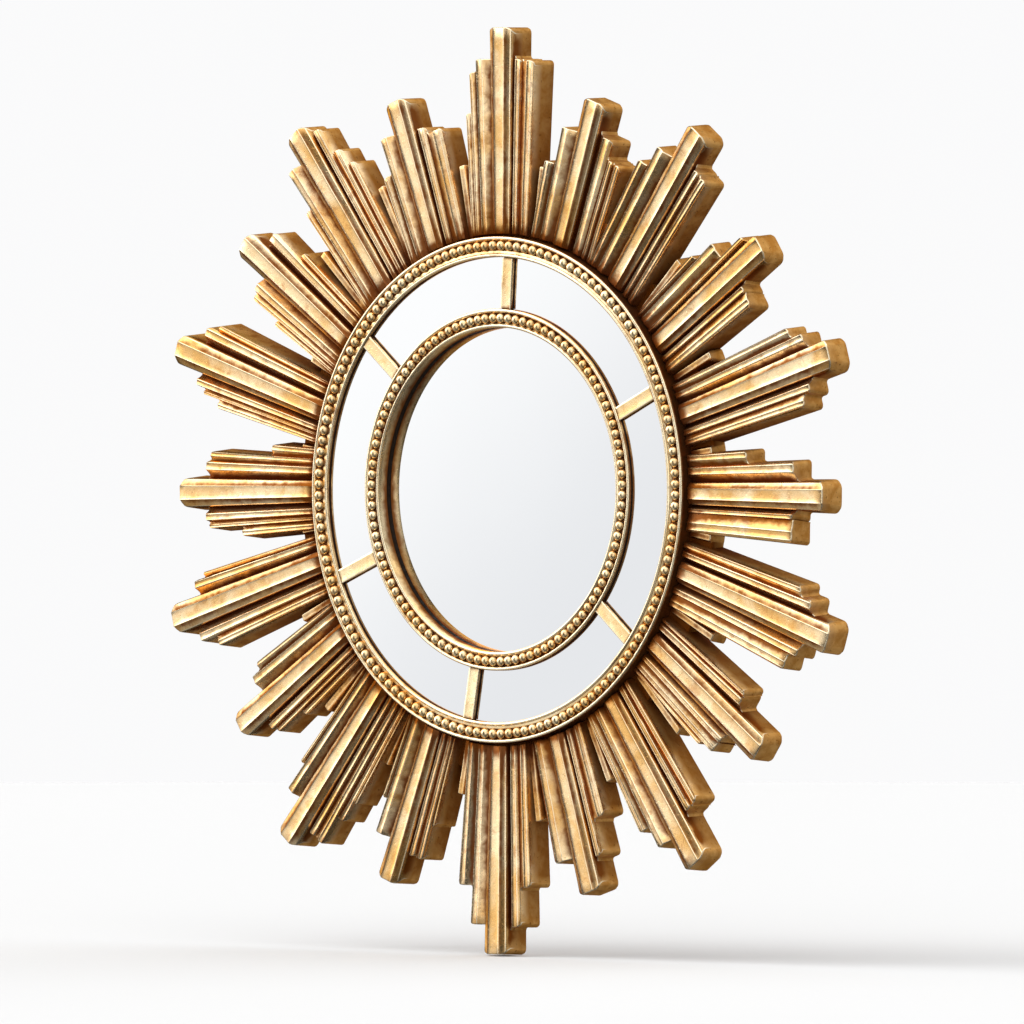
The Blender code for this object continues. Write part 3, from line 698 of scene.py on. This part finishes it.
def spoke(number, material):
    """Flat bar with rounded long edges and a slightly hollowed, uneven face."""
    bearing = math.radians(SPOKE_BEARINGS[number])
    half = SPOKE_WIDTH / 2
    back = GLASS_FACE + GLASS_GAP
    top = back + SPOKE_THICKNESS
    # (across, depth, cavity, crest): cavity gives patina and painted shade down the sides, crest gives
    # wear and a painted highlight on the rounded edges
    right = [
        (half - 0.0024, top - 0.0002, 0.1, 0.3),
        (half - 0.0010, top, 0.0, 1.0),
        (half - 0.0003, top - 0.0003, 0.1, 0.8),
        (half, top - 0.0010, 0.5, 0.2),
        (half, back, 0.8, 0.0),
    ]
    section = mirrored(right) + [(0.0, top - 0.0003, 0.05, 0.2)] + right
    shell = Shell()
    rows = []
    near, far = INNER_RING_RADIUS + RING_GAP, OUTER_RING_BORE - RING_GAP
    for step in range(SPOKE_STEPS + 1):
        row = []
        for across, depth, cavity, crest in section:
            start = math.sqrt(near ** 2 - across ** 2)
            end = math.sqrt(far ** 2 - across ** 2)
            along = start + (end - start) * step / SPOKE_STEPS
            x = math.sin(bearing) * along + math.cos(bearing) * across
            z = math.cos(bearing) * along - math.sin(bearing) * across
            lift = noise.noise(Vector((x * SPOKE_WAVE_SCALE, number, z * SPOKE_WAVE_SCALE)))
            lift = lift * SPOKE_WAVE if depth > back else 0.0
            # Painted shade: the spoke darkens at its ends, by the rings
            corner = max(0.0, 1 - min(step, SPOKE_STEPS - step) / 2)
            dark = min(1, cavity + SPOKE_END_SHADE * corner)
            row.append(((x, -(depth + lift), z - AXIS_DROP), (dark, 0.0, crest, 1)))
        rows.append(row)
    shell.close_edge(shell.grid(rows))
    name = f"spoke_{number + 1}"
    piece = make_piece(f"gilded_spoke_{number + 1}", shell, material)
    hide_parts(name)
    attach(piece, "root")


MIX_FIRST, MIX_SECOND, MIX_RESULT = 6, 7, 2


class Nodes:
    """Short way to build a material's node tree."""

    def __init__(self, name):
        self.material = bpy.data.materials.new(name)
        self.material.use_nodes = True
        self.tree = self.material.node_tree
        self.shader = self.tree.nodes["Principled BSDF"]
        self.place = self.add("ShaderNodeTexCoord").outputs["Object"]

    def add(self, kind, **settings):
        node = self.tree.nodes.new(kind)
        for key, value in settings.items():
            setattr(node, key, value)
        return node

    def wire(self, source, target):
        if isinstance(source, (int, float, tuple)):
            target.default_value = source
        else:
            self.tree.links.new(source, target)

    def noise(self, scale, detail=4.0, rough=0.55, distort=0.0):
        node = self.add("ShaderNodeTexNoise")
        self.wire(self.place, node.inputs["Vector"])
        node.inputs["Scale"].default_value = scale
        node.inputs["Detail"].default_value = detail
        node.inputs["Roughness"].default_value = rough
        node.inputs["Distortion"].default_value = distort
        return node.outputs["Fac"]

    def math(self, operation, first, second=0.0, clamp=False):
        node = self.add("ShaderNodeMath", operation=operation, use_clamp=clamp)
        self.wire(first, node.inputs[0])
        self.wire(second, node.inputs[1])
        return node.outputs[0]

    def span(self, value, low, high, out_low=0.0, out_high=1.0):
        node = self.add("ShaderNodeMapRange", interpolation_type="SMOOTHSTEP")
        self.wire(value, node.inputs["Value"])
        node.inputs["From Min"].default_value = low
        node.inputs["From Max"].default_value = high
        node.inputs["To Min"].default_value = out_low
        node.inputs["To Max"].default_value = out_high
        return node.outputs["Result"]

    def mix(self, factor, first, second):
        node = self.add("ShaderNodeMix", data_type="RGBA")
        self.wire(factor, node.inputs["Factor"])
        self.wire(first, node.inputs[MIX_FIRST])
        self.wire(second, node.inputs[MIX_SECOND])
        return node.outputs[MIX_RESULT]

    def relief(self):
        node = self.add("ShaderNodeAttribute", attribute_name="relief")
        split = self.add("ShaderNodeSeparateColor")
        self.wire(node.outputs["Color"], split.inputs[0])
        return split.outputs[0], split.outputs[1], split.outputs[2]

    def bump(self, height, strength, distance):
        node = self.add("ShaderNodeBump")
        node.inputs["Strength"].default_value = strength
        node.inputs["Distance"].default_value = distance
        self.wire(height, node.inputs["Height"])
        self.wire(node.outputs["Normal"], self.shader.inputs["Normal"])


def colour(red, green, blue):
    """Linear colour from 0 to 255 values."""
    def linear(value):
        value = value / 255
        return value / 12.92 if value <= 0.04045 else ((value + 0.055) / 1.055) ** 2.4
    return (linear(red), linear(green), linear(blue), 1.0)


# Pale leaf for wear on the crests, which also serves as a painted highlight
WORN_AND_HIGHLIGHT_LEAF = (255, 240, 206)
REDDISH_LEAF = (160, 92, 30)
# Brown patina in the flutes, which also serves as painted shade
FLUTE_PATINA_AND_SHADE = (112, 54, 6)
DULL_WALL, PALE_WALL = (172, 118, 54), (204, 156, 90)
# Dark wall colour for painted shade near the ring and between the rays
WALL_PAINTED_SHADE = (92, 42, 4)
WALL_PIT = (92, 52, 14)
GOLD_SHEEN = (226, 160, 78)


def gold_material(name, deep, middle, light, patina_and_shade_gain, wall_gain):
    """Gold leaf over a casting: bright crests with wear and painted highlights, brown patina and painted
    shade in the flutes, dull speckled walls darkened by painted shade.
    """
    n = Nodes(name)
    cavity, wall, crest = n.relief()
    blotch = n.noise(16.0, 5.0, 0.6, 0.4)
    cloud = n.noise(75.0, 5.0, 0.65, 0.3)
    grain = n.noise(420.0, 3.0, 0.7)
    leaf = n.mix(n.span(blotch, 0.35, 0.66), middle, light)
    leaf = n.mix(n.math("MULTIPLY", n.span(cloud, 0.48, 0.74), 0.45), leaf, deep)
    # Wear and painted highlight: the crests turn to pale leaf
    wear_and_highlight = n.math("MULTIPLY", n.span(crest, 0.35, 0.95), n.span(cloud, 0.25, 0.60, 0.45, 1.0))
    leaf = n.mix(wear_and_highlight, leaf, colour(*WORN_AND_HIGHLIGHT_LEAF))
    ragged = n.math("ADD", n.math("MULTIPLY", n.math("SUBTRACT", cloud, 0.5), 0.8),
                    n.math("MULTIPLY", n.math("SUBTRACT", blotch, 0.5), 0.8))
    # Patina and painted shade: hollow relief and random blotches turn the leaf brown, less on the crests
    dirt_and_shade = n.math("ADD", n.math("MULTIPLY", cavity, patina_and_shade_gain), ragged)
    dirt_and_shade = n.span(n.math("SUBTRACT", dirt_and_shade, n.math("MULTIPLY", crest, 0.45)), 0.12, 0.80)
    rust = n.math("MULTIPLY", n.span(n.noise(34.0, 6.0, 0.7, 0.8), 0.55, 0.70), 0.45)
    leaf = n.mix(rust, leaf, colour(*REDDISH_LEAF))
    leaf = n.mix(n.math("MULTIPLY", dirt_and_shade, 0.95), leaf, colour(*FLUTE_PATINA_AND_SHADE))
    dull = n.mix(n.span(cloud, 0.35, 0.70), colour(*DULL_WALL), colour(*PALE_WALL))
    # Painted shade: the walls darken with the cavity value
    dull = n.mix(n.math("MULTIPLY", cavity, 0.94, True), dull, colour(*WALL_PAINTED_SHADE))
    pits = n.span(n.noise(330.0, 2.0, 0.5), 0.64, 0.72)
    dull = n.mix(n.math("MULTIPLY", pits, 0.75), dull, colour(*WALL_PIT))
    side = n.math("MULTIPLY", wall, wall_gain, True)
    n.wire(n.mix(side, leaf, dull), n.shader.inputs["Base Color"])
    metal = n.math("SUBTRACT", 0.97, n.math("MULTIPLY", dirt_and_shade, 0.12))
    metal = n.math("SUBTRACT", metal, n.math("MULTIPLY", side, 0.45), True)
    n.wire(metal, n.shader.inputs["Metallic"])
    rough = n.math("ADD", n.span(cloud, 0.3, 0.75, 0.20, 0.32), n.math("MULTIPLY", dirt_and_shade, 0.14))
    rough = n.math("ADD", rough, n.math("MULTIPLY", side, 0.20), True)
    n.wire(rough, n.shader.inputs["Roughness"])
    n.shader.inputs["Specular IOR Level"].default_value = 0.04
    n.shader.inputs["Specular Tint"].default_value = colour(*GOLD_SHEEN)
    height = n.math("ADD", n.math("MULTIPLY", grain, 0.35), n.math("MULTIPLY", cloud, 0.65))
    height = n.math("SUBTRACT", height, n.math("MULTIPLY", pits, 0.5))
    n.bump(height, 0.40, 0.0005)
    return n.material


def antique_gold():
    return gold_material("antique_gold_leaf", colour(178, 112, 42), colour(220, 172, 104),
                         colour(248, 222, 178), 1.0, 1.0)


def bright_gold():
    return gold_material("bright_gold_leaf", colour(196, 138, 66), colour(236, 196, 132),
                         colour(254, 234, 190), 0.85, 0.5)


def silver_glass():
    """Silvering seen through clear glass, with a painted reflection that is a little greyer towards the
    lower right.
    """
    n = Nodes("silvered_glass")
    split = n.add("ShaderNodeSeparateXYZ")
    n.wire(n.place, split.inputs[0])
    # Painted reflection: the silver is lighter towards the upper left and greyer towards the lower right
    painted_reflection_lean = n.math("SUBTRACT", n.math("MULTIPLY", split.outputs[0], 0.8), split.outputs[2])
    painted_reflection_lean = n.math("ADD", painted_reflection_lean, n.math("MULTIPLY", n.noise(6.0, 3.0, 0.5), 0.06))
    tone = n.mix(n.span(painted_reflection_lean, -0.08, 0.45), colour(250, 251, 252), colour(228, 230, 233))
    n.wire(tone, n.shader.inputs["Base Color"])
    n.shader.inputs["Metallic"].default_value = 1.0
    n.wire(n.span(n.noise(30.0, 5.0, 0.7), 0.3, 0.8, 0.010, 0.030), n.shader.inputs["Roughness"])
    return n.material


def glass_back_and_edge_shade():
    """Dark back of the glass, and its edges in painted shade."""
    n = Nodes("dark_glass_back_and_edge_shade")
    n.wire(n.mix(n.noise(120.0), colour(16, 10, 5), colour(44, 28, 12)), n.shader.inputs["Base Color"])
    n.wire(n.span(n.noise(200.0), 0.3, 0.7, 0.5, 0.8), n.shader.inputs["Roughness"])
    n.shader.inputs["Specular IOR Level"].default_value = 0.1
    return n.material


def painted_board():
    """Fibreboard under matt black paint, with a soft fibre and some scuffs."""
    n = Nodes("painted_board")
    fibre = n.noise(260.0, 6.0, 0.75, 0.6)
    scuff = n.span(n.noise(14.0, 6.0, 0.7, 1.2), 0.60, 0.68)
    base = n.mix(fibre, colour(38, 33, 29), colour(62, 55, 48))
    n.wire(n.mix(n.math("MULTIPLY", scuff, 0.5), base, colour(104, 86, 66)), n.shader.inputs["Base Color"])
    n.wire(n.span(fibre, 0.3, 0.7, 0.62, 0.85), n.shader.inputs["Roughness"])
    n.bump(fibre, 0.5, 0.0004)
    return n.material


def zinc():
    """Zinc-plated steel with cloudy spangle and a soft bump."""
    n = Nodes("zinc_plating")
    spangle = n.add("ShaderNodeTexVoronoi")
    n.wire(n.place, spangle.inputs["Vector"])
    spangle.inputs["Scale"].default_value = 260.0
    cell = n.add("ShaderNodeSeparateColor")
    n.wire(spangle.outputs["Color"], cell.inputs[0])
    cloud = n.noise(80.0, 4.0, 0.6)
    tone = n.mix(cell.outputs[0], colour(168, 170, 168), colour(206, 208, 204))
    n.wire(n.mix(n.span(cloud, 0.45, 0.75), tone, colour(150, 146, 132)), n.shader.inputs["Base Color"])
    n.shader.inputs["Metallic"].default_value = 1.0
    n.wire(n.span(cell.outputs[1], 0.0, 1.0, 0.28, 0.46), n.shader.inputs["Roughness"])
    n.bump(cloud, 0.3, 0.0002)
    return n.material


def dress_node(name, material, bevel):
    """Keeps a solid as it is, with its own finish and softened edges."""
    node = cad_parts[name]
    node.data.materials.clear()
    node.data.materials.append(material)
    soften = node.modifiers.new("softened_edges", "BEVEL")
    soften.width = bevel
    soften.segments = 2
    soften.limit_method = "ANGLE"
    soften.angle_limit = math.radians(30)


# Light that the room gives from every side, and its soft lights, each as
# (direction, cosine at the edge, cosine at full strength, strength)
ROOM_LIGHT = 0.06
SOFTBOXES = (
    ((-0.69, -0.72, 0.03), 0.86, 0.985, 0.96),
    ((-0.78, -0.42, 0.46), 0.86, 0.985, 2.05),
    ((-0.97, -0.10, 0.15), 0.88, 0.990, 1.30),
    ((-0.10, -0.20, 0.97), 0.80, 0.980, 1.00),
    ((0.80, 0.45, 0.35), 0.55, 0.950, 0.55),
    ((-0.55, -0.45, -0.70), 0.75, 0.970, 0.35),
    ((0.10, 0.93, 0.35), 0.80, 0.970, 1.00),
    ((0.62, -0.74, -0.26), 0.84, 0.990, 0.50),
)

# Soft suns, each as (name, direction that it shines in, strength, width in degrees)
SUNS = (
    ("key_light", (0.66, 0.52, -0.54), 0.6, 60),
    ("fill_light", (-0.60, 0.72, -0.35), 0.8, 60),
    ("top_light", (0.0, 0.1, -1.0), 1.9, 100),
)


def stage_floor():
    """Pale floor just under the mirror's lowest tip."""
    bpy.ops.mesh.primitive_circle_add(vertices=FLOOR_STEPS, radius=FLOOR_RADIUS, fill_type="NGON",
                                      location=(0, 0, cad_low.z - FLOOR_GAP))
    floor = bpy.context.object
    azimuth = math.radians(CAMERA_AZIMUTH)
    floor.rotation_mode = "AXIS_ANGLE"
    floor.rotation_axis_angle = (math.radians(FLOOR_TILT), math.cos(azimuth), math.sin(azimuth), 0)
    floor.name = "studio_floor"
    n = Nodes("pale_floor")
    darker, lighter = [(tone, tone, tone, 1) for tone in FLOOR_TONES]
    n.wire(n.mix(n.noise(0.8, 3.0), darker, lighter), n.shader.inputs["Base Color"])
    n.shader.inputs["Roughness"].default_value = 0.9
    n.shader.inputs["Specular IOR Level"].default_value = 0.0
    floor.data.materials.append(n.material)
    floor.visible_glossy = False


def studio_world():
    """White behind the mirror, while light and reflections come from soft lights in a dim room."""
    world = bpy.data.worlds.new("studio")
    world.use_nodes = True
    bpy.context.scene.world = world
    tree = world.node_tree
    tree.nodes.clear()
    place = tree.nodes.new("ShaderNodeTexCoord")
    total = ROOM_LIGHT
    for direction, low, high, strength in SOFTBOXES:
        toward = tree.nodes.new("ShaderNodeVectorMath")
        toward.operation = "DOT_PRODUCT"
        toward.inputs[1].default_value = Vector(direction).normalized()
        tree.links.new(place.outputs["Generated"], toward.inputs[0])
        ramp = tree.nodes.new("ShaderNodeMapRange")
        ramp.interpolation_type = "SMOOTHSTEP"
        for key, value in (("From Min", low), ("From Max", high), ("To Min", 0.0), ("To Max", strength)):
            ramp.inputs[key].default_value = value
        tree.links.new(toward.outputs["Value"], ramp.inputs["Value"])
        add = tree.nodes.new("ShaderNodeMath")
        if isinstance(total, float):
            add.inputs[0].default_value = total
        else:
            tree.links.new(total, add.inputs[0])
        tree.links.new(ramp.outputs["Result"], add.inputs[1])
        total = add.outputs[0]
    shade = tree.nodes.new("ShaderNodeBackground")
    shade.inputs["Color"].default_value = (1, 1, 1, 1)
    white = tree.nodes.new("ShaderNodeBackground")
    white.inputs["Color"].default_value = BACKDROP
    path = tree.nodes.new("ShaderNodeLightPath")
    mix = tree.nodes.new("ShaderNodeMixShader")
    out = tree.nodes.new("ShaderNodeOutputWorld")
    tree.links.new(total, shade.inputs["Strength"])
    tree.links.new(path.outputs["Is Camera Ray"], mix.inputs[0])
    tree.links.new(shade.outputs[0], mix.inputs[1])
    tree.links.new(white.outputs[0], mix.inputs[2])
    tree.links.new(mix.outputs[0], out.inputs[0])


def sun(name, direction, strength, width):
    """Light from far away that shines in one direction, softer the wider it is."""
    light = bpy.data.lights.new(name, "SUN")
    light.energy = strength
    light.angle = math.radians(width)
    lamp = link(name, light)
    lamp.rotation_euler = Vector(direction).to_track_quat("-Z", "Y").to_euler()


def camera():
    """Camera at the photograph's angle, without perspective."""
    azimuth, rise = math.radians(CAMERA_AZIMUTH), math.radians(CAMERA_ELEVATION)
    level = math.cos(rise)
    back = Vector((math.sin(azimuth) * level, -math.cos(azimuth) * level, math.sin(rise)))
    right = Vector((math.cos(azimuth), math.sin(azimuth), 0))
    up = back.cross(right)
    aim = Vector((0, -AIM_DEPTH, -AXIS_DROP)) - right * AXIS_RIGHT - up * AXIS_UP
    data = bpy.data.cameras.new("photo_camera")
    data.type = "ORTHO"
    data.ortho_scale = PHOTO_SPAN
    data.clip_start, data.clip_end = CAMERA_CLIP
    eye = link("photo_camera", data)
    eye.location = aim + back * CAMERA_DISTANCE
    eye.rotation_euler = (-back).to_track_quat("-Z", "Y").to_euler()
    bpy.context.scene.camera = eye


def build():
    gold, bright = antique_gold(), bright_gold()
    glass, edge = silver_glass(), glass_back_and_edge_shade()
    sunburst_frame(gold)
    beaded_ring("outer_bead_ring", "outer_beaded_ring", OUTER_RING_RADIUS, OUTER_RING_BORE,
                outer_foot(), OUTER_BEADS, bright)
    beaded_ring("inner_bead_ring", "inner_beaded_ring", INNER_RING_RADIUS, INNER_RING_BORE,
                inner_foot(), INNER_BEADS, bright)
    mirrors(glass, edge)
    for number in range(len(SPOKE_BEARINGS)):
        spoke(number, bright)
    dress_node("back_panel", painted_board(), BOARD_EDGE)
    dress_node("hanging_plate", zinc(), PLATE_EDGE)
    stage_floor()
    studio_world()
    for name, direction, strength, width in SUNS:
        sun(name, direction, strength, width)
    camera()
    bpy.context.scene.view_settings.view_transform = "Standard"
    bpy.context.scene.view_settings.look = "None"


build()
